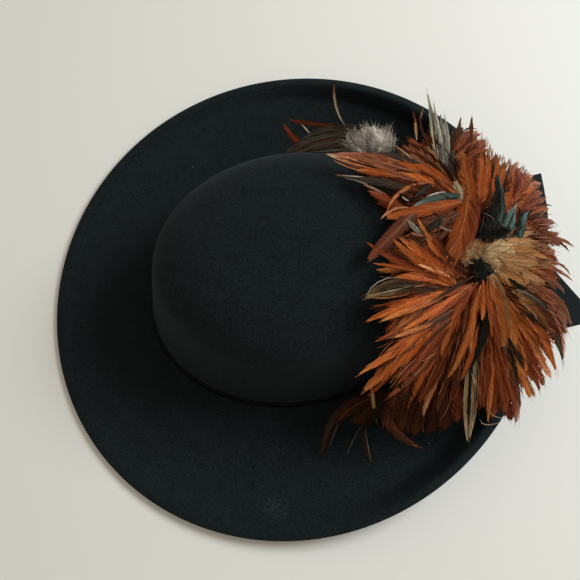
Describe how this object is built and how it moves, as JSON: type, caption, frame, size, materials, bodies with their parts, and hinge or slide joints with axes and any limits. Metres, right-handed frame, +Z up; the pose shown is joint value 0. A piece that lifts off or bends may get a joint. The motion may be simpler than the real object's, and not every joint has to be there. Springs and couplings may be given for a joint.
{
  "type": "feather hat",
  "caption": "Wide-brimmed black felt hat with a rounded crown, a brim turned up at the back, a large orange-brown feather spray and a black ribbon bow.",
  "frame": {"origin": "bottom centre of the bounding box, on the surface that the brim rests on", "axes": "+X to the back of the hat where the feathers and bow are, +Y to the wearer's right, +Z up through the crown"},
  "size_m": [0.3556, 0.35, 0.1082],
  "materials": {
    "black_felt": "matt wool felt with a short nap",
    "black_ribbon": "ribbed ribbon with a low sheen",
    "orange_feathers": "glossy hackle feathers, orange to dark brown",
    "gold_feathers": "glossy pale gold hackle feathers",
    "green_black_feathers": "black feathers with a green gloss",
    "grey_feathers": "downy grey feather with a brown vane",
    "brown_feathers": "dark red-brown feathers"
  },
  "bodies": {
    "root": {"hat_body": "black_felt", "hat_band": "black_ribbon", "bow_knot": "black_ribbon", "bow_upper_tail": "black_ribbon", "bow_lower_tail": "black_ribbon", "feather_burst": "orange_feathers", "feather_fan": "gold_feathers", "feather_dark_tuft": "green_black_feathers", "feather_rim_fringe": "orange_feathers", "feather_crest": "orange_feathers", "feather_spray": "orange_feathers", "feather_wisp": "grey_feathers", "feather_tail": "brown_feathers"}
  },
  "joints": []
}
